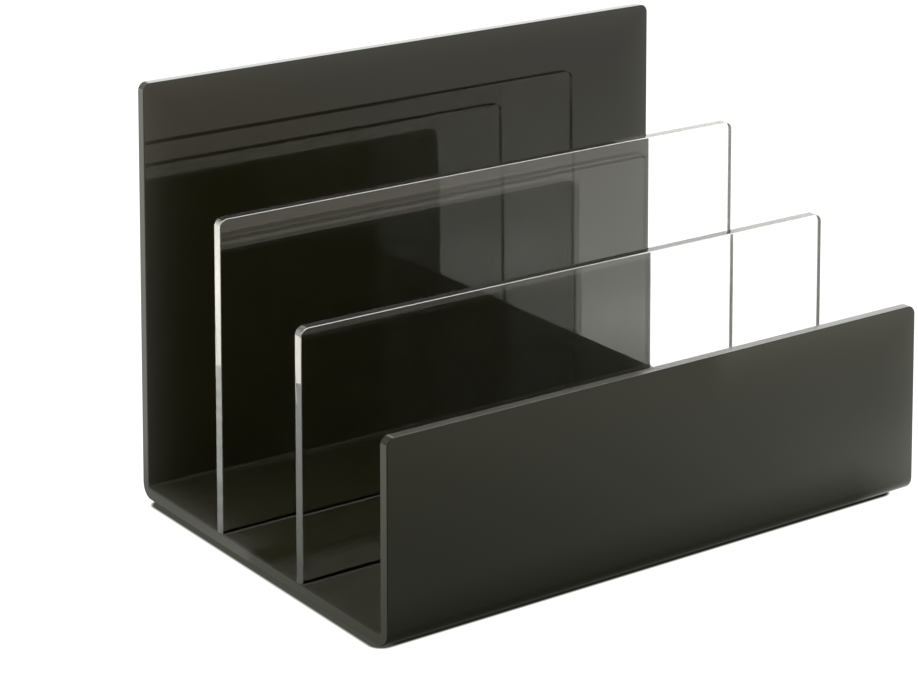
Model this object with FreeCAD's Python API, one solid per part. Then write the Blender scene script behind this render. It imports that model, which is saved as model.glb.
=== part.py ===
import FreeCAD, Part
import math
import os

# Desktop file sorter: one bent sheet forms a tall back, a flat base and a low front, and two
# clear dividers stand on the base between them, the rear one taller. Four small bumpers carry it.
# Millimetres. +X runs along the panels, +Y towards the back, +Z up. The origin is the middle of
# the footprint on the desk.

# Overall size
width = 254.0
depth = 178.0
back_height = 170.0  # from the underside of the base to the top of the back
front_height = 77.5  # from the underside of the base to the top of the front

# Sheet, the same thickness in all three sheet pieces
sheet = 4.5
bend_inside_radius = 1.5
corner_radius = 3.5  # upper corners of every panel
arris = 0.4  # polished rounding along every cut edge

# Dividers and the slots in front of them
front_slot = 52.0
middle_slot = 53.5
front_divider_height = 97.5
rear_divider_height = 124.5

# Bumpers under the base
foot_diameter = 8.0
foot_height = 1.5
foot_edge_radius = 0.4
foot_inset = 14.0  # from the outline of the base to the middle of a bumper

# Places worked out from the sizes above
half_width = width / 2.0
half_depth = depth / 2.0
underside = foot_height
floor = underside + sheet
bend_outside_radius = bend_inside_radius + sheet
front_divider_y = -half_depth + sheet + front_slot
rear_divider_y = front_divider_y + sheet + middle_slot

SHARP_ANGLE = math.radians(30.0)
POSITION_TOLERANCE = 1e-6
ARC_MIDDLE = math.sqrt(0.5)


def vector(x, y, z):
    return FreeCAD.Vector(x, y, z)


def bend_arc(centre_y, centre_z, radius, start, end):
    """Quarter circle in the YZ plane between two of the four axis directions from its centre."""
    middle = (start[0] + end[0], start[1] + end[1])
    points = []
    for direction, reach in ((start, radius), (middle, radius * ARC_MIDDLE), (end, radius)):
        y = centre_y + direction[0] * reach
        z = centre_z + direction[1] * reach
        points.append(vector(-half_width, y, z))
    return Part.Arc(*points).toShape()


def joined(edges):
    """The edges with straight lines closing the gaps between them, as one closed wire."""
    loop = []
    for index, edge in enumerate(edges):
        loop.append(edge)
        gap_start = edge.lastVertex().Point
        gap_end = edges[(index + 1) % len(edges)].firstVertex().Point
        loop.append(Part.makeLine(gap_start, gap_end))
    return Part.Wire(Part.__sortEdges__(loop))


def face_normal(face, point):
    u, v = face.Surface.parameter(point)
    return face.normalAt(u, v)


def is_sharp(solid, edge):
    """True where the two faces beside the edge meet at an angle."""
    middle = edge.valueAt((edge.FirstParameter + edge.LastParameter) / 2.0)
    first, second = solid.ancestorsOfType(edge, Part.Face)
    return face_normal(first, middle).getAngle(face_normal(second, middle)) > SHARP_ANGLE


def runs_along_y_at(edge, height):
    """True for a straight edge along Y at the given height."""
    start = edge.firstVertex().Point
    end = edge.lastVertex().Point
    level = abs(start.z - height) < POSITION_TOLERANCE and abs(end.z - height) < POSITION_TOLERANCE
    across = abs(start.x - end.x) < POSITION_TOLERANCE
    return level and across


def with_round_corners(solid, heights):
    """Round the upper corners of the panels whose tops are at the given heights."""
    corners = [edge for edge in solid.Edges for height in heights if runs_along_y_at(edge, height)]
    return solid.makeFillet(corner_radius, corners)


def with_polished_edges(solid):
    """Round every sharp edge by the arris."""
    return solid.makeFillet(arris, [edge for edge in solid.Edges if is_sharp(solid, edge)])


def body():
    """The bent sheet: tall back, base and low front in one piece."""
    front_top = underside + front_height
    back_top = underside + back_height
    bend_z = underside + bend_outside_radius
    bend_y = half_depth - bend_outside_radius
    inner_face_y = half_depth - sheet
    left, right, down = (-1.0, 0.0), (1.0, 0.0), (0.0, -1.0)

    outer_front_bend = bend_arc(-bend_y, bend_z, bend_outside_radius, left, down)
    outer_back_bend = bend_arc(bend_y, bend_z, bend_outside_radius, down, right)
    back_top_edge = Part.makeLine(
        vector(-half_width, half_depth, back_top), vector(-half_width, inner_face_y, back_top)
    )
    inner_back_bend = bend_arc(bend_y, bend_z, bend_inside_radius, right, down)
    inner_front_bend = bend_arc(-bend_y, bend_z, bend_inside_radius, down, left)
    front_top_edge = Part.makeLine(
        vector(-half_width, -inner_face_y, front_top), vector(-half_width, -half_depth, front_top)
    )
    outline = joined(
        [
            outer_front_bend,
            outer_back_bend,
            back_top_edge,
            inner_back_bend,
            inner_front_bend,
            front_top_edge,
        ]
    )
    sheet_body = Part.Face(outline).extrude(vector(width, 0.0, 0.0))
    return with_polished_edges(with_round_corners(sheet_body, [front_top, back_top]))


def divider(front_face_y, height):
    """A clear plate standing on the base across the full width."""
    plate = Part.makeBox(width, sheet, height, vector(-half_width, front_face_y, floor))
    return with_polished_edges(with_round_corners(plate, [floor + height]))


def foot(x_side, y_side):
    """A round bumper under one corner of the base, its lower rim eased."""
    centre = vector(x_side * (half_width - foot_inset), y_side * (half_depth - foot_inset), 0.0)
    pad = Part.makeCylinder(foot_diameter / 2.0, foot_height, centre)
    lower_rim = [
        edge for edge in pad.Edges if edge.BoundBox.ZMax < foot_height / 2.0
    ]
    return pad.makeFillet(foot_edge_radius, lower_rim)


os.makedirs("parts", exist_ok=True)

body().exportStep("parts/body.step")
divider(front_divider_y, front_divider_height).exportStep("parts/front_divider.step")
divider(rear_divider_y, rear_divider_height).exportStep("parts/rear_divider.step")
for y_name, y_side in (("front", -1.0), ("rear", 1.0)):
    for x_name, x_side in (("left", -1.0), ("right", 1.0)):
        foot(x_side, y_side).exportStep("parts/foot_" + y_name + "_" + x_name + ".step")
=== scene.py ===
import math

import bmesh
import bpy
from mathutils import Matrix, Vector


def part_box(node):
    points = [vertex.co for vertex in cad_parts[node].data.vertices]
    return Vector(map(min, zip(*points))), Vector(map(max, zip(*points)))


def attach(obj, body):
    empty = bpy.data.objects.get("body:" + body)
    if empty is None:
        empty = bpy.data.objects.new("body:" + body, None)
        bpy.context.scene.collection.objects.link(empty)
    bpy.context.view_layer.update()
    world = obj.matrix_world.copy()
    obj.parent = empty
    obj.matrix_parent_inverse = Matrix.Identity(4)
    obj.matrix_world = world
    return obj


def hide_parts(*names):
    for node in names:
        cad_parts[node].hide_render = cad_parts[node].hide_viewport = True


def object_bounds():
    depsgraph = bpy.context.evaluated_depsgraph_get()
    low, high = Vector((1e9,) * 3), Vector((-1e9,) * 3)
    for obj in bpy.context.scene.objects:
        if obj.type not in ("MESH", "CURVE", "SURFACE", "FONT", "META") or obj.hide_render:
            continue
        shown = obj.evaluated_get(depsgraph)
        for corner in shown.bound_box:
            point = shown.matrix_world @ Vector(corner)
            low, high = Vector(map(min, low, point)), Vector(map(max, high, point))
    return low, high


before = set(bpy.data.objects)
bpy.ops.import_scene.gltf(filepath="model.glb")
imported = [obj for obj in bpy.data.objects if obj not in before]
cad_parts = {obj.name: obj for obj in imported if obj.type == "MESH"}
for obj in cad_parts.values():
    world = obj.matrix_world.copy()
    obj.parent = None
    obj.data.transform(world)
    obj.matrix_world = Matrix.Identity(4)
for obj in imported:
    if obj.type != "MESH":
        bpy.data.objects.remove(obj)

# Desktop file sorter: a bent sheet of glossy black acrylic with two clear dividers, on a pale
# floor in a white studio. Metres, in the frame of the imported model.

MM = 0.001
WHITE = (1.0, 1.0, 1.0, 1.0)
SPECK_RIM = (0.08, 0.16)  # in shares of the size of a cell

cad_low, cad_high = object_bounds()

# Sizes from the frame
front_low, front_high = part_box("front_divider")
half_width = cad_high.x
half_depth = cad_high.y
back_top = cad_high.z
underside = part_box("foot_front_left")[1].z
slot_floor = front_low.z
sheet = front_high.y - front_low.y

# Sheet work
FRONT_HEIGHT = 77.5 * MM  # of the low front, from the underside of the base
BEND_INSIDE_RADIUS = 1.5 * MM
CORNER_RADIUS = 3.5 * MM
ARRIS = 0.4 * MM
CEMENT_GAP = 0.01 * MM  # thickness of the cement below a divider
CEMENT_RISE = 0.35 * MM  # height and reach of the bead of cement along its foot
front_top = underside + FRONT_HEIGHT

# Bumper, in shares of its radius or of its height
BUMPER_TOP_RINGS = (0.0, 0.5, 0.9, 1.0)
BUMPER_LOW_RINGS = (0.3, 0.0)
BUMPER_CROWN = 0.62
BUMPER_WALL = 0.25

# Fineness of the meshes
GRID_STEP = 11.0 * MM
BEND_STEPS = 14
CORNER_STEPS = 10
ARRIS_STEPS = 4
CEMENT_STEPS = 6
BUMPER_STEPS = 8
BUMPER_TURNS = 48
SHARP = math.radians(30.0)
SAME = 1e-6  # places closer than this count as one

# Camera: a view camera on a low stand, front left of the sorter. Its lens is dropped, so that
# upright edges stay nearly parallel.
CAMERA_PLACE = Vector((-0.66446, -0.9050, 0.44671))
CAMERA_AZIMUTH = math.radians(-36.29)
CAMERA_PITCH = math.radians(6.852)
CAMERA_ROLL = math.radians(0.1404)
SENSOR_WIDTH = 36.0
LENS = 113.47
LENS_SHIFT_X = -0.0780
LENS_SHIFT_Y = -0.66597
CLIP_START = 0.01
CLIP_END = 50.0

# Black sheet. The low front and the tall back change over in the middle of the depth.
ACRYLIC_IOR = 1.49
MIDDLE = 10.0 * MM
OLIVE_DARK = (0.0142, 0.0142, 0.0062, 1.0)
OLIVE_LIGHT = (0.0168, 0.0168, 0.0076, 1.0)
# Pale colour of real dust, of cut top edges and of a painted glow of light along the free edges
PALE_DUST_CUT_AND_GLOW = (1.0, 1.0, 0.97, 1.0)
CLOUD_SIZE = 60.0 * MM
GLOW_FALL = 7.0 * MM  # the painted glow of light dies away over this distance from a free edge
# strength of the painted glow of light at a free edge
GLOW_SHARE = 0.04
GLOWLESS_LEFT = 60.0 * MM  # the left half of the front has as little painted glow as this far from an edge
GLOWLESS_LEFT_END = 30.0 * MM
DUST_SIZE = 2.2 * MM
DUST_CHANCE = 0.35
DUST_SHARE = 0.008
CUT_SHARE = 0.05  # paleness of a cut top edge
CUT_FADE = (0.1 * MM, 1.0 * MM)  # in from the edge
EDGE_FADE = (0.3 * MM, 0.8 * MM)
LEVEL = (0.9, 0.97)  # upward part of the normal, on a level face
SLANT = (0.1, 0.3, 0.93, 0.98)  # part of the normal along an axis, on an arris or a bend
SMEAR_SIZE = 25.0 * MM
SMEAR_RANGE = (0.3, 0.8)
SMOOTHEST = 0.012
SMEARED = 0.04
EDGE_ROUGHNESS = 0.10
SCRAPED_ROUGHNESS = 0.5
BENT_ROUGHNESS = 0.35
BEND_FADE = (2.0 * MM, 3.0 * MM)  # up from the floor of the slots
BEND_BELOW = 1.0 * MM
BEND_ASIDE = 4.0 * MM  # in from the outside of the front and of the back
GLOSS = 0.5
WORN_GLOSS = 0.15
SCRATCH_SIZE = 2.5 * MM
SCRATCH_STRETCH = (1.0, 1.0, 14.0)
SCRATCH_DEPTH = 0.004
SHEET_WAVE = 45.0 * MM
RELIEF = 0.02 * MM

# Clear sheet
DIVIDER_IOR = 1.53
BODY_COLOUR = (0.60, 0.47, 0.44, 1.0)
BODY_DENSITY = 2.7
CLEAR_SHADE = (0.9, 0.9, 0.9, 1.0)
CREST_FROST = 0.04
CREST_FACE = (0.9, 0.99)  # upward part of the normal
# White scatter on the front arris of a divider's top edge: a painted highlight line
RIM_PAINTED_HIGHLIGHT = 0.85
RIM_SLANT = (0.35, 0.55, 0.9, 0.96)
RIM_FORWARD = -0.2
END_FACE = (0.6, 0.95)  # part of the normal along the sorter
END_FROST_AND_SHADE_LOW = (0.03, 0.13)  # of the front divider, of the rear divider; real frost on the sawn ends, with painted shade in its fall towards the bottom and on the front divider
END_FROST_AND_SHADE_HIGH = (0.15, 0.36)
FROST_HEIGHT = 80.0 * MM
SAW_SIZE = 4.0 * MM
SAW_STRETCH = (1.0, 0.3, 1.0)
SAW_RANGE = (0.3, 0.7)
SAW_DEPTH = (0.85, 1.15)
CLEAR_DUST_SIZE = 2.6 * MM
CLEAR_DUST_CHANCE = 0.3
CLEAR_DUST_SHARE = 0.02
CLEAR_WAVE = 50.0 * MM
RIGHT_GLOW = 0.08
RIGHT_START = 1.0 * MM  # right of the middle
RIGHT_GLOW_COLOUR = (1.0, 0.98, 0.94, 1.0)
END_STOP = 9.3 * MM  # painted shade: a black stop inside this height of the front divider's right end lets no light in
END_SKIN = 0.2 * MM
CEMENT_OUTSIDE = (0.06, 0.06, 0.055, 1.0)
# Black of the cement seen from inside a divider, also the colour of the painted shade stop
CEMENT_AND_SHADE_INSIDE = (0.002, 0.002, 0.001, 1.0)
CEMENT_ROUGHNESS = 0.08

# Rubber
RUBBER_DARK = (0.022, 0.022, 0.022, 1.0)
RUBBER_LIGHT = (0.05, 0.05, 0.048, 1.0)
PEBBLE_SIZE = 0.25 * MM
PEBBLE_DEPTH = 0.05 * MM
PEBBLE_STRENGTH = 0.6
PEBBLE_RANGE = (0.3, 0.7)
PEBBLE_ROUGHNESS = (0.5, 0.75)

# Light of the floor as the polished sheets mirror it: it rises towards the back, and soft
# patches change it. Each patch has the change in its middle, its place and its reach. They are
# set for the view of the camera above; from elsewhere the mirrored floor is only plausible.
FLOOR_LEVEL = 1.03
FLOOR_RISE_X = 0.16
FLOOR_RISE_Y = 0.50
FLOOR_DARKEST = 0.55
FLOOR_BRIGHTEST = 2.2
FLOOR_LEAST = 0.1
FRONT_SHADE = (-0.56, (-0.09, -0.12), (0.13, 0.16))  # before the sorter
RIGHT_POOL = (0.2, (0.40, -0.14), (0.12, 0.12))
CORNER_POOL = (0.6, (0.18, -0.105), (0.045, 0.032))  # beside the front right corner
LEFT_POOL = (0.15, (-0.24, 0.05), (0.08, 0.10))
REAR_SHADE = (-0.40, (-0.135, 0.085), (0.02, 0.04))  # beside the left end, below the back
FLOOR_NEAR = (1.0, 1.02, 0.93, 1.0)
FLOOR_FAR = (1.0, 0.91, 0.74, 1.0)
FLOOR_RIGHT = (1.0, 0.98, 0.95, 1.0)
WARM_START = -0.45
WARM_END = -0.15
WARM_LEFT = 0.12
WARM_RIGHT = 0.5

# Painted shade on the mirrored floor close to the sorter, dark up to a soft end on either side
NEAR_INSET = 8.0 * MM
NEAR_REACH = 55.0 * MM
NEAR_DARK = 0.2
NEAR_LEFT = (-2.0 * MM, 1.0 * MM)  # past the left end of the sorter
NEAR_RIGHT = (-45.0 * MM, 13.5 * MM)  # past its right end

# Painted contact shadow on the line of contact: a dark patch with round corners below the base, which
# shows past the left
CONTACT_SHIFT = -3.0 * MM
CONTACT_INSET = (2.6 * MM, 5.6 * MM)
CONTACT_ROUND = 5.0 * MM
CONTACT_REACH = 2.0 * MM
CONTACT_DARK = 0.012
CONTACT_DARK_LEFT = 0.055
CONTACT_LEFT = (3.0 * MM, 9.0 * MM)  # in from the left end of the sorter
CONTACT_COLOUR = (1.0, 1.0, 0.85, 1.0)
FLOOR_WHITE = 1.2
FLOOR_HALF_SIZE = 6.0
FLOOR_GAP = 0.05 * MM

# Light of the studio. The pairs are limits on one component of the direction.
STUDIO_FRONT = 1.3
STUDIO_BACK = 2.2
STUDIO_DEPTH = (-0.6, 0.6)
LEFT_LOSS = 0.15
LEFT_SIDE = (-1.0, 0.2)
RIGHT_LOSS = 0.8
RIGHT_SIDE = (0.55, 0.95)
TOP_SHARE = 0.6
OVERHEAD = (0.45, 0.85)
LOW_FRONT_LOSS = 0.85
LOW_FRONT_DEPTH = (-0.5, -0.2)
LOW_FRONT_HEIGHT = (0.35, 0.40)
STUDIO_WARM = (1.0, 0.98, 0.92, 1.0)
STUDIO_COOL = (0.98, 1.0, 0.97, 1.0)
STUDIO_COOLING = (-0.2, 0.4)

# Light paths: the dividers are long light guides, so a path may bounce many times
MOST_BOUNCES = 160
GLOSSY_BOUNCES = 140
TRANSMISSION_BOUNCES = 40
TRANSPARENT_BOUNCES = 24
DIFFUSE_BOUNCES = 2
CLAMP_INDIRECT = 3.0


class Graph:
    """Short names for adding nodes to one node tree and wiring them."""

    def __init__(self, tree):
        self.tree = tree
        tree.nodes.clear()

    def node(self, kind, inputs=None, **settings):
        made = self.tree.nodes.new(kind)
        for key, value in settings.items():
            setattr(made, key, value)
        for key, value in (inputs or {}).items():
            self.feed(made.inputs[key], value)
        return made

    def feed(self, socket, value):
        if isinstance(value, bpy.types.NodeSocket):
            self.tree.links.new(value, socket)
        else:
            socket.default_value = value

    def place(self):
        return self.node("ShaderNodeTexCoord").outputs["Object"]

    def geometry(self, output):
        return self.node("ShaderNodeNewGeometry").outputs[output]

    def math(self, operation, *values):
        made = self.node("ShaderNodeMath", operation=operation)
        for socket, value in zip(made.inputs, values):
            self.feed(socket, value)
        return made.outputs[0]

    def chain(self, operation, first, *others):
        for other in others:
            first = self.math(operation, first, other)
        return first

    def product(self, *values):
        return self.chain("MULTIPLY", *values)

    def total(self, *values):
        return self.chain("ADD", *values)

    def highest(self, *values):
        return self.chain("MAXIMUM", *values)

    def absolute(self, value):
        return self.math("ABSOLUTE", value)

    def ramp(self, value, start, end, low, high, curve="SMOOTHSTEP"):
        inputs = {"Value": value, "From Min": start, "From Max": end, "To Min": low, "To Max": high}
        made = self.node("ShaderNodeMapRange", inputs, interpolation_type=curve)
        return made.outputs["Result"]

    def band(self, value, rise_start, rise_end, fall_start, fall_end):
        """1 between the rise and the fall, 0 outside them."""
        rise = self.ramp(value, rise_start, rise_end, 0.0, 1.0)
        return self.product(rise, self.ramp(value, fall_start, fall_end, 1.0, 0.0))

    def bell(self, values, middles, spreads):
        """1 in the middle, falling off as a bell curve to all sides."""
        squares = []
        for value, middle, spread in zip(values, middles, spreads):
            step = self.math("DIVIDE", self.math("SUBTRACT", value, middle), spread)
            squares.append(self.product(step, step))
        return self.math("EXPONENT", self.product(self.total(*squares), -0.5))

    def split(self, vector):
        made = self.node("ShaderNodeSeparateXYZ", {"Vector": vector})
        return made.outputs["X"], made.outputs["Y"], made.outputs["Z"]

    def stretched(self, vector, scale):
        made = self.node("ShaderNodeVectorMath", operation="MULTIPLY")
        self.feed(made.inputs[0], vector)
        self.feed(made.inputs[1], scale)
        return made.outputs[0]

    def noise(self, vector, size, detail=2.0, roughness=0.5):
        inputs = {"Vector": vector, "Scale": 1.0 / size, "Detail": detail, "Roughness": roughness}
        return self.node("ShaderNodeTexNoise", inputs).outputs["Fac"]

    def specks(self, vector, size, share):
        """1 inside small round specks, one per cell of the given size in the given share."""
        cells = self.node("ShaderNodeTexVoronoi", {"Vector": vector, "Scale": 1.0 / size})
        near = self.ramp(cells.outputs["Distance"], *SPECK_RIM, 1.0, 0.0)
        chance, _, _ = self.split(cells.outputs["Color"])
        return self.product(near, self.math("LESS_THAN", chance, share))

    def relief(self, height, distance, strength=1.0):
        inputs = {"Height": height, "Strength": strength, "Distance": distance}
        return self.node("ShaderNodeBump", inputs).outputs["Normal"]

    def tint(self, factor, first, second):
        made = self.node("ShaderNodeMix", data_type="RGBA")
        self.feed(made.inputs["Factor"], factor)
        self.feed(made.inputs[6], first)
        self.feed(made.inputs[7], second)
        return made.outputs[2]

    def principled(self, inputs):
        return self.node("ShaderNodeBsdfPrincipled", inputs).outputs[0]

    def blend(self, factor, first, second):
        made = self.node("ShaderNodeMixShader")
        self.feed(made.inputs[0], factor)
        self.tree.links.new(first, made.inputs[1])
        self.tree.links.new(second, made.inputs[2])
        return made.outputs[0]

    def finish(self, surface, volume=None, kind="ShaderNodeOutputMaterial"):
        out = self.node(kind)
        self.tree.links.new(surface, out.inputs["Surface"])
        if volume is not None:
            self.tree.links.new(volume, out.inputs["Volume"])


def new_material(name):
    material = bpy.data.materials.new(name)
    material.use_nodes = True
    return material, Graph(material.node_tree)


def inner_bends(g, y, z, upward):
    """1 on the inner faces of the two bends."""
    fade_start, fade_end = (slot_floor + height for height in BEND_FADE)
    low = g.ramp(z, fade_start, fade_end, 1.0, 0.0)
    above = g.math("GREATER_THAN", z, slot_floor - BEND_BELOW)
    inside = g.math("LESS_THAN", g.absolute(y), half_depth - BEND_ASIDE)
    return g.product(low, above, inside, g.band(upward, *SLANT))


def black_acrylic():
    """Polished opaque black sheet: a faint olive body colour under a clear gloss, with hairline
    scratches, dust and a painted glow of light along the free edges, faint on the left half of the
    front."""
    material, g = new_material("black_acrylic")
    place = g.place()
    x, y, z = g.split(place)
    along, _, upward = g.split(g.geometry("Normal"))

    side = g.math("SUBTRACT", half_width, g.absolute(x))
    top = g.math("SUBTRACT", g.ramp(y, -MIDDLE, MIDDLE, front_top, back_top), z)
    rim = g.math("MINIMUM", side, top)
    low_front = g.ramp(y, -MIDDLE, MIDDLE, 1.0, 0.0)
    # Painted glow of light along the free edges, kept faint on the left half of the front
    left_half = g.product(low_front, g.ramp(x, 0.0, GLOWLESS_LEFT_END, 1.0, 0.0))
    away = g.total(rim, g.product(left_half, GLOWLESS_LEFT))
    painted_glow = g.math("EXPONENT", g.math("DIVIDE", away, -GLOW_FALL))
    dust = g.specks(place, DUST_SIZE, DUST_CHANCE)
    level = g.ramp(upward, *LEVEL, 0.0, 1.0)
    cut = g.product(level, g.ramp(rim, *CUT_FADE, 1.0, 0.0))
    pale = g.total(g.product(painted_glow, GLOW_SHARE), g.product(dust, DUST_SHARE), g.product(cut, CUT_SHARE))
    colour = g.tint(g.noise(place, CLOUD_SIZE, 3.0), OLIVE_DARK, OLIVE_LIGHT)
    colour = g.tint(pale, colour, PALE_DUST_CUT_AND_GLOW)

    scraped = g.band(g.absolute(along), *SLANT)
    bent = inner_bends(g, y, z, upward)
    edge = g.ramp(rim, *EDGE_FADE, 1.0, 0.0)
    roughness = g.total(
        g.ramp(g.noise(place, SMEAR_SIZE, 4.0, 0.6), *SMEAR_RANGE, SMOOTHEST, SMEARED),
        g.product(edge, EDGE_ROUGHNESS),
        g.product(scraped, SCRAPED_ROUGHNESS),
        g.product(bent, BENT_ROUGHNESS),
    )
    worn = g.highest(scraped, bent)

    scratch = g.noise(g.stretched(place, SCRATCH_STRETCH), SCRATCH_SIZE, 3.0, 0.7)
    height = g.total(g.noise(place, SHEET_WAVE, 1.0), g.product(scratch, SCRATCH_DEPTH))
    shader = g.principled(
        {
            "Base Color": colour,
            "Roughness": roughness,
            "IOR": ACRYLIC_IOR,
            "Specular IOR Level": g.ramp(worn, 0.0, 1.0, GLOSS, WORN_GLOSS, "LINEAR"),
            "Normal": g.relief(height, RELIEF),
        }
    )
    g.finish(shader)
    return material


def divider_frost_and_painted_light(g, place, end, forward, upward):
    """Share of the light that the skin of a divider scatters: on its sawn ends, with painted shade
    low down and on the front divider; on its top edge; on the front arris of that edge, as a painted
    highlight line; and on specks of dust."""
    _, y, z = g.split(place)
    # Real frost on the sawn ends; its fall towards the bottom and on the front divider is painted
    # shade
    high = g.ramp(y, 0.0, MIDDLE, *END_FROST_AND_SHADE_HIGH)
    low = g.ramp(y, 0.0, MIDDLE, *END_FROST_AND_SHADE_LOW)
    frost_and_shade = g.ramp(z, slot_floor, slot_floor + FROST_HEIGHT, low, high, "LINEAR")
    saw = g.noise(g.stretched(place, SAW_STRETCH), SAW_SIZE, 2.0)
    sawn = g.product(end, frost_and_shade, g.ramp(saw, *SAW_RANGE, *SAW_DEPTH))
    crest = g.ramp(g.absolute(upward), *CREST_FACE, 0.0, CREST_FROST)
    # painted highlight along the front arris of the top edge
    rim = g.product(g.band(upward, *RIM_SLANT), g.math("LESS_THAN", forward, RIM_FORWARD), RIM_PAINTED_HIGHLIGHT)
    dust = g.product(g.specks(place, CLEAR_DUST_SIZE, CLEAR_DUST_CHANCE), CLEAR_DUST_SHARE)
    return g.highest(sawn, g.highest(crest, rim), dust)


def clear_acrylic():
    """Clear cast sheet, warm along its length. Its sawn upright ends scatter some of the light, the
    cement along its foot is black, and a black stop low inside the front divider's right end paints
    shade there."""
    material, g = new_material("clear_acrylic")
    place = g.place()
    x, y, z = g.split(place)
    along, forward, upward = g.split(g.geometry("Normal"))
    inside = g.geometry("Backfacing")
    end = g.ramp(g.absolute(along), *END_FACE, 0.0, 1.0)
    solid = divider_frost_and_painted_light(g, place, end, forward, upward)
    glass = g.principled(
        {
            "Base Color": WHITE,
            "Roughness": 0.0,
            "IOR": DIVIDER_IOR,
            "Transmission Weight": g.math("SUBTRACT", 1.0, solid),
            "Normal": g.relief(g.noise(place, CLEAR_WAVE, 1.0), RELIEF),
        }
    )
    glow = g.node("ShaderNodeBsdfTranslucent", {"Color": RIGHT_GLOW_COLOUR})
    right = g.ramp(x, 0.0, RIGHT_START, 0.0, 1.0)
    glass = g.blend(g.product(end, right, RIGHT_GLOW), glass, glow.outputs[0])

    clear = g.node("ShaderNodeBsdfTransparent", {"Color": CLEAR_SHADE})
    path = g.node("ShaderNodeLightPath")
    unseen = g.highest(path.outputs["Is Shadow Ray"], path.outputs["Is Diffuse Ray"])
    plate = g.blend(unseen, glass, clear.outputs[0])

    # Painted shade: a black stop inside the low part of the front divider's right end
    stop = g.product(
        g.math("GREATER_THAN", x, half_width - END_SKIN),
        inside,
        g.math("LESS_THAN", y, 0.0),
        g.math("LESS_THAN", z, slot_floor + END_STOP),
    )
    joint_and_shade_stop = g.highest(g.math("LESS_THAN", z, slot_floor + CEMENT_RISE), stop)
    black = g.principled(
        {
            "Base Color": g.tint(inside, CEMENT_OUTSIDE, CEMENT_AND_SHADE_INSIDE),
            "Roughness": CEMENT_ROUGHNESS,
            "IOR": ACRYLIC_IOR,
            "Specular IOR Level": g.product(g.math("SUBTRACT", 1.0, inside), GLOSS),
        }
    )
    body_colour = {"Color": BODY_COLOUR, "Density": BODY_DENSITY}
    absorbed = g.node("ShaderNodeVolumeAbsorption", body_colour)
    g.finish(g.blend(joint_and_shade_stop, plate, black), absorbed.outputs[0])
    return material


def bumper_rubber():
    """Soft grey-black rubber with a fine pebbled skin."""
    material, g = new_material("bumper_rubber")
    pebble = g.noise(g.place(), PEBBLE_SIZE, 3.0, 0.6)
    shader = g.principled(
        {
            "Base Color": g.tint(pebble, RUBBER_DARK, RUBBER_LIGHT),
            "Roughness": g.ramp(pebble, *PEBBLE_RANGE, *PEBBLE_ROUGHNESS),
            "Normal": g.relief(pebble, PEBBLE_DEPTH, PEBBLE_STRENGTH),
        }
    )
    g.finish(shader)
    return material


def mirrored_level(g, x, y):
    """Brightness of the floor in the polished sheets, away from the sorter."""
    slope = g.total(g.product(x, FLOOR_RISE_X), g.product(y, FLOOR_RISE_Y))
    level = g.highest(g.total(slope, FLOOR_LEVEL), FLOOR_DARKEST)
    level = g.math("MINIMUM", level, FLOOR_BRIGHTEST)
    for change, place, reach in (FRONT_SHADE, RIGHT_POOL, CORNER_POOL, LEFT_POOL, REAR_SHADE):
        level = g.total(level, g.product(g.bell((x, y), place, reach), change))
    return g.highest(level, FLOOR_LEAST)


def near_share(g, x, before):
    """Share of the mirrored light that is left close to the sorter."""
    share = g.ramp(before, -NEAR_INSET, NEAR_REACH - NEAR_INSET, NEAR_DARK, 1.0)
    left_start, left_end = (past - half_width for past in NEAR_LEFT)
    right_start, right_end = (past + half_width for past in NEAR_RIGHT)
    off_left = g.ramp(x, left_start, left_end, 1.0, 0.0)
    off_right = g.ramp(x, right_start, right_end, 0.0, 1.0)
    return g.highest(share, g.highest(off_left, off_right))


def open_share(g, x, before):
    """Share of the white that the painted contact shadow leaves around and below the base."""
    aside = g.absolute(g.math("SUBTRACT", x, CONTACT_SHIFT))
    aside = g.math("SUBTRACT", aside, half_width)
    squares = []
    for value, inset in zip((aside, before), CONTACT_INSET):
        past = g.highest(g.total(value, inset + CONTACT_ROUND), 0.0)
        squares.append(g.product(past, past))
    beyond = g.math("SUBTRACT", g.math("SQRT", g.total(*squares)), CONTACT_ROUND)
    left_start, left_end = (inward - half_width for inward in CONTACT_LEFT)
    dark = g.ramp(x, left_start, left_end, CONTACT_DARK_LEFT, CONTACT_DARK)
    return g.ramp(beyond, 0.0, CONTACT_REACH, dark, 1.0)


def floor_paper():
    """Pale paper: white where it is seen directly, but for a painted contact shadow below the base;
    mirrored in the sheets, it carries a painted falloff of the studio light."""
    material, g = new_material("floor_paper")
    x, y, _ = g.split(g.geometry("Position"))
    before = g.math("SUBTRACT", g.absolute(y), half_depth)
    path = g.node("ShaderNodeLightPath")
    bounced = g.total(path.outputs["Glossy Depth"], path.outputs["Diffuse Depth"])
    bounced = g.math("MINIMUM", bounced, 1.0)
    # painted contact shadow below the base
    open_part = open_share(g, x, before)
    white = g.product(g.math("SUBTRACT", 1.0, bounced), g.product(open_part, FLOOR_WHITE))
    level = g.product(mirrored_level(g, x, y), near_share(g, x, before), bounced)

    warmth = g.ramp(y, WARM_START, WARM_END, 1.0, 0.0)
    far = g.tint(g.ramp(x, WARM_LEFT, WARM_RIGHT, 0.0, 1.0), FLOOR_FAR, FLOOR_RIGHT)
    mirrored = g.tint(warmth, FLOOR_NEAR, far)
    seen = g.tint(open_part, CONTACT_COLOUR, WHITE)
    colour = g.tint(bounced, seen, mirrored)
    paper = g.node("ShaderNodeEmission", {"Color": colour, "Strength": g.total(white, level)})
    g.finish(paper.outputs[0])
    material.cycles.emission_sampling = "NONE"
    return material


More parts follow.
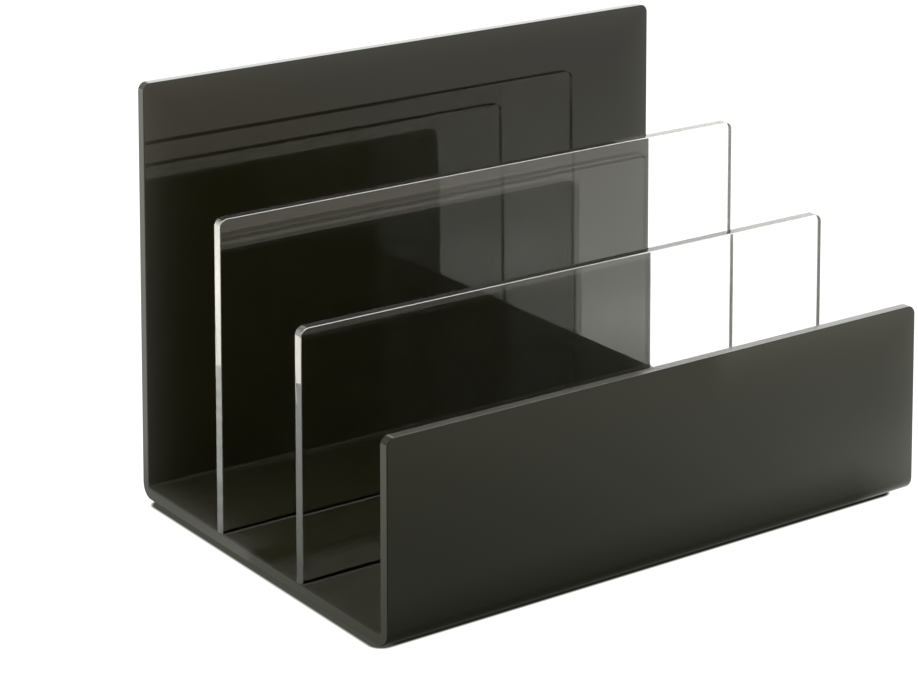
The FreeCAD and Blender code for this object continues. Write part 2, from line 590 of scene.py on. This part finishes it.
def studio():
    """White studio: brightest behind the sorter, dimmer overhead, far to the right and low in
    front."""
    world = bpy.data.worlds.new("studio")
    world.use_nodes = True
    g = Graph(world.node_tree)
    x, y, z = g.split(g.node("ShaderNodeTexCoord").outputs["Generated"])
    around = g.ramp(y, *STUDIO_DEPTH, STUDIO_FRONT, STUDIO_BACK)
    loss = g.total(g.ramp(x, *LEFT_SIDE, LEFT_LOSS, 0.0), g.ramp(x, *RIGHT_SIDE, 0.0, RIGHT_LOSS))
    overhead = g.ramp(z, *OVERHEAD, 1.0, TOP_SHARE)
    in_front = g.ramp(y, *LOW_FRONT_DEPTH, 1.0, 0.0)
    low_front = g.product(in_front, g.ramp(z, *LOW_FRONT_HEIGHT, 1.0, 0.0))
    dim = g.math("SUBTRACT", 1.0, g.product(low_front, LOW_FRONT_LOSS))
    strength = g.product(g.math("SUBTRACT", around, loss), overhead, dim)
    colour = g.tint(g.ramp(y, *STUDIO_COOLING, 0.0, 1.0), STUDIO_WARM, STUDIO_COOL)
    light = g.node("ShaderNodeBackground", {"Color": colour, "Strength": strength})
    g.finish(light.outputs[0], kind="ShaderNodeOutputWorld")
    world.cycles.sampling_method = "NONE"
    bpy.context.scene.world = world


def quarter(start, steps):
    """Angles over a quarter turn from start, in even steps."""
    return [start + index / steps * math.pi / 2.0 for index in range(steps + 1)]


def steps_between(start, end):
    """Evenly spread stations from start to end, about one grid step apart."""
    count = max(1, round(abs(end - start) / GRID_STEP))
    return [start + (end - start) * index / count for index in range(count + 1)]


def lofted(outline):
    """A solid mesh from a closed outline in the YZ plane, run along the width of the sorter.
    Each end is filled by quads between the halves of the outline."""
    mesh = bmesh.new()
    rows = []
    for x in steps_between(-half_width, half_width):
        rows.append([mesh.verts.new((x, y, z)) for y, z in outline])
    count = len(outline)
    for row, after in zip(rows, rows[1:]):
        for index in range(count):
            step = (index + 1) % count
            mesh.faces.new((row[index], after[index], after[step], row[step]))
    for row, turned in ((rows[0], False), (rows[-1], True)):
        for index in range(count // 2 - 1):
            corners = [row[index], row[index + 1], row[count - 2 - index], row[count - 1 - index]]
            mesh.faces.new(corners if turned else corners[::-1])
    bmesh.ops.recalc_face_normals(mesh, faces=mesh.faces)
    return mesh


def bevelled(mesh, edges, offset, steps):
    bmesh.ops.bevel(
        mesh,
        geom=edges,
        offset=offset,
        segments=steps,
        profile=0.5,
        affect="EDGES",
        clamp_overlap=True,
    )


def is_top_corner(edge, tops):
    """True for the short edge at either end of a panel's top."""
    first, second = (vertex.co for vertex in edge.verts)
    level = any(abs(first.z - top) < SAME and abs(second.z - top) < SAME for top in tops)
    at_end = abs(abs(first.x) - half_width) < SAME
    return level and at_end and abs(first.x - second.x) < SAME


def round_sheet(mesh, tops, polished_from):
    """Round the upper corners of the panels, and every sharp edge above the given height."""
    corners = [edge for edge in mesh.edges if is_top_corner(edge, tops)]
    bevelled(mesh, corners, CORNER_RADIUS, CORNER_STEPS)
    sharp = []
    for edge in mesh.edges:
        lowest = min(vertex.co.z for vertex in edge.verts)
        if edge.calc_face_angle() > SHARP and lowest > polished_from:
            sharp.append(edge)
    bevelled(mesh, sharp, ARRIS, ARRIS_STEPS)


def piece_from(mesh, name, node, look):
    """Turn a bmesh into a smooth shaded piece that stands for a CAD node and rides with it."""
    for face in mesh.faces:
        face.smooth = True
    data = bpy.data.meshes.new(name)
    mesh.to_mesh(data)
    mesh.free()
    data.materials.append(look)
    made = bpy.data.objects.new(name, data)
    bpy.context.scene.collection.objects.link(made)
    weighted = made.modifiers.new("flat_faces", "WEIGHTED_NORMAL")
    weighted.weight = 100
    weighted.keep_sharp = False
    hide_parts(node)
    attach(made, "root")


def bend_sections(centre_y, centre_z, start):
    """(outer point, inner point) pairs round one bend."""
    pairs = []
    for angle in quarter(start, BEND_STEPS):
        outer, inner = (
            (centre_y + radius * math.cos(angle), centre_z + radius * math.sin(angle))
            for radius in (BEND_INSIDE_RADIUS + sheet, BEND_INSIDE_RADIUS)
        )
        pairs.append((outer, inner))
    return pairs


def bent_sheet_sections():
    """(outer point, inner point) pairs in the YZ plane, from the top of the front, round both
    bends, to the top of the back."""
    outside = BEND_INSIDE_RADIUS + sheet
    bend_y = half_depth - outside
    bend_z = underside + outside
    pairs = []
    for z in steps_between(front_top, bend_z)[:-1]:
        pairs.append(((-half_depth, z), (-half_depth + sheet, z)))
    pairs.extend(bend_sections(-bend_y, bend_z, math.pi))
    for y in steps_between(-bend_y, bend_y)[1:-1]:
        pairs.append(((y, underside), (y, underside + sheet)))
    pairs.extend(bend_sections(bend_y, bend_z, 1.5 * math.pi))
    for z in steps_between(bend_z, back_top)[1:]:
        pairs.append(((half_depth, z), (half_depth - sheet, z)))
    return pairs


def body(look):
    pairs = bent_sheet_sections()
    outline = [outer for outer, _ in pairs] + [inner for _, inner in reversed(pairs)]
    mesh = lofted(outline)
    round_sheet(mesh, (front_top, back_top), cad_low.z)
    piece_from(mesh, "bent_sheet", "body", look)


def divider(node, look):
    """A plate whose foot flares into the concave bead of cement, just clear of the base."""
    low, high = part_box(node)
    bead_low = low.z + CEMENT_GAP
    plate_low = bead_low + CEMENT_RISE
    profile = []
    for angle in quarter(0.0, CEMENT_STEPS)[:-1]:
        out = CEMENT_RISE * (1.0 - math.sin(angle))
        profile.append((out, bead_low + CEMENT_RISE * (1.0 - math.cos(angle))))
    profile.extend((0.0, z) for z in steps_between(plate_low, high.z))
    outline = [(low.y - out, z) for out, z in profile]
    outline.extend((high.y + out, z) for out, z in reversed(profile))
    mesh = lofted(outline)
    round_sheet(mesh, (high.z,), plate_low - SAME)
    piece_from(mesh, node + "_sheet", node, look)


def ring_of(mesh, centre, reach, z):
    """One level ring of points, or a single point where it has no reach."""
    if reach == 0.0:
        return [mesh.verts.new((centre.x, centre.y, z))]
    ring = []
    for turn in range(BUMPER_TURNS):
        angle = turn / BUMPER_TURNS * 2.0 * math.pi
        x = centre.x + reach * math.cos(angle)
        y = centre.y + reach * math.sin(angle)
        ring.append(mesh.verts.new((x, y, z)))
    return ring


def bumper(node, look):
    """A low domed bumper: a thin rim where it is stuck on, and a crown that flattens on the desk."""
    low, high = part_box(node)
    centre = (low + high) / 2.0
    radius = (high.x - low.x) / 2.0
    height = high.z - low.z
    profile = [(radius * share, high.z) for share in BUMPER_TOP_RINGS]
    for angle in quarter(0.0, BUMPER_STEPS):
        reach = radius * BUMPER_CROWN + radius * (1.0 - BUMPER_CROWN) * math.cos(angle)
        drop = BUMPER_WALL + (1.0 - BUMPER_WALL) * math.sin(angle)
        profile.append((reach, high.z - height * drop))
    profile.extend((radius * share, low.z) for share in BUMPER_LOW_RINGS)
    mesh = bmesh.new()
    rings = [ring_of(mesh, centre, reach, z) for reach, z in profile]
    for ring, after in zip(rings, rings[1:]):
        for turn in range(BUMPER_TURNS):
            step = (turn + 1) % BUMPER_TURNS
            if len(ring) == 1:
                mesh.faces.new((ring[0], after[turn], after[step]))
            elif len(after) == 1:
                mesh.faces.new((ring[turn], after[0], ring[step]))
            else:
                mesh.faces.new((ring[turn], after[turn], after[step], ring[step]))
    bmesh.ops.recalc_face_normals(mesh, faces=mesh.faces)
    piece_from(mesh, node.replace("foot", "bumper"), node, look)


def floor():
    grid = bmesh.new()
    bmesh.ops.create_grid(grid, x_segments=1, y_segments=1, size=FLOOR_HALF_SIZE)
    data = bpy.data.meshes.new("floor")
    grid.to_mesh(data)
    grid.free()
    data.materials.append(floor_paper())
    made = bpy.data.objects.new("floor", data)
    made.location.z = -FLOOR_GAP
    bpy.context.scene.collection.objects.link(made)


def shift_lens(data, holder):
    for path, shift in (("shift_x", LENS_SHIFT_X), ("shift_y", LENS_SHIFT_Y)):
        curve = data.driver_add(path)
        curve.driver.type = "SUM"
        variable = curve.driver.variables.new()
        variable.name = "mode"
        variable.type = "SINGLE_PROP"
        variable.targets[0].id = holder
        variable.targets[0].data_path = "rotation_mode"
        curve.modifiers[0].coefficients = (0.0, shift)


def camera():
    data = bpy.data.cameras.new("camera")
    data.sensor_fit = "HORIZONTAL"
    data.sensor_width = SENSOR_WIDTH
    data.lens = LENS
    data.clip_start = CLIP_START
    data.clip_end = CLIP_END
    made = bpy.data.objects.new("camera", data)
    bpy.context.scene.collection.objects.link(made)
    back = Vector(
        (
            math.sin(CAMERA_AZIMUTH) * math.cos(CAMERA_PITCH),
            -math.cos(CAMERA_AZIMUTH) * math.cos(CAMERA_PITCH),
            math.sin(CAMERA_PITCH),
        )
    )
    turn = back.to_track_quat("Z", "Y").to_matrix() @ Matrix.Rotation(CAMERA_ROLL, 3, "Z")
    made.rotation_mode = "XYZ"
    made.rotation_euler = turn.to_euler()
    made.location = CAMERA_PLACE
    shift_lens(data, made)
    bpy.context.scene.camera = made


def light_paths():
    scene = bpy.context.scene
    scene.view_settings.view_transform = "Standard"
    scene.cycles.max_bounces = MOST_BOUNCES
    scene.cycles.glossy_bounces = GLOSSY_BOUNCES
    scene.cycles.transmission_bounces = TRANSMISSION_BOUNCES
    scene.cycles.transparent_max_bounces = TRANSPARENT_BOUNCES
    scene.cycles.diffuse_bounces = DIFFUSE_BOUNCES
    scene.cycles.sample_clamp_indirect = CLAMP_INDIRECT
    scene.cycles.denoising_input_passes = "RGB"


body(black_acrylic())
clear = clear_acrylic()
divider("front_divider", clear)
divider("rear_divider", clear)
rubber = bumper_rubber()
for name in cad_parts:
    if name.startswith("foot"):
        bumper(name, rubber)

floor()
studio()
camera()
light_paths()
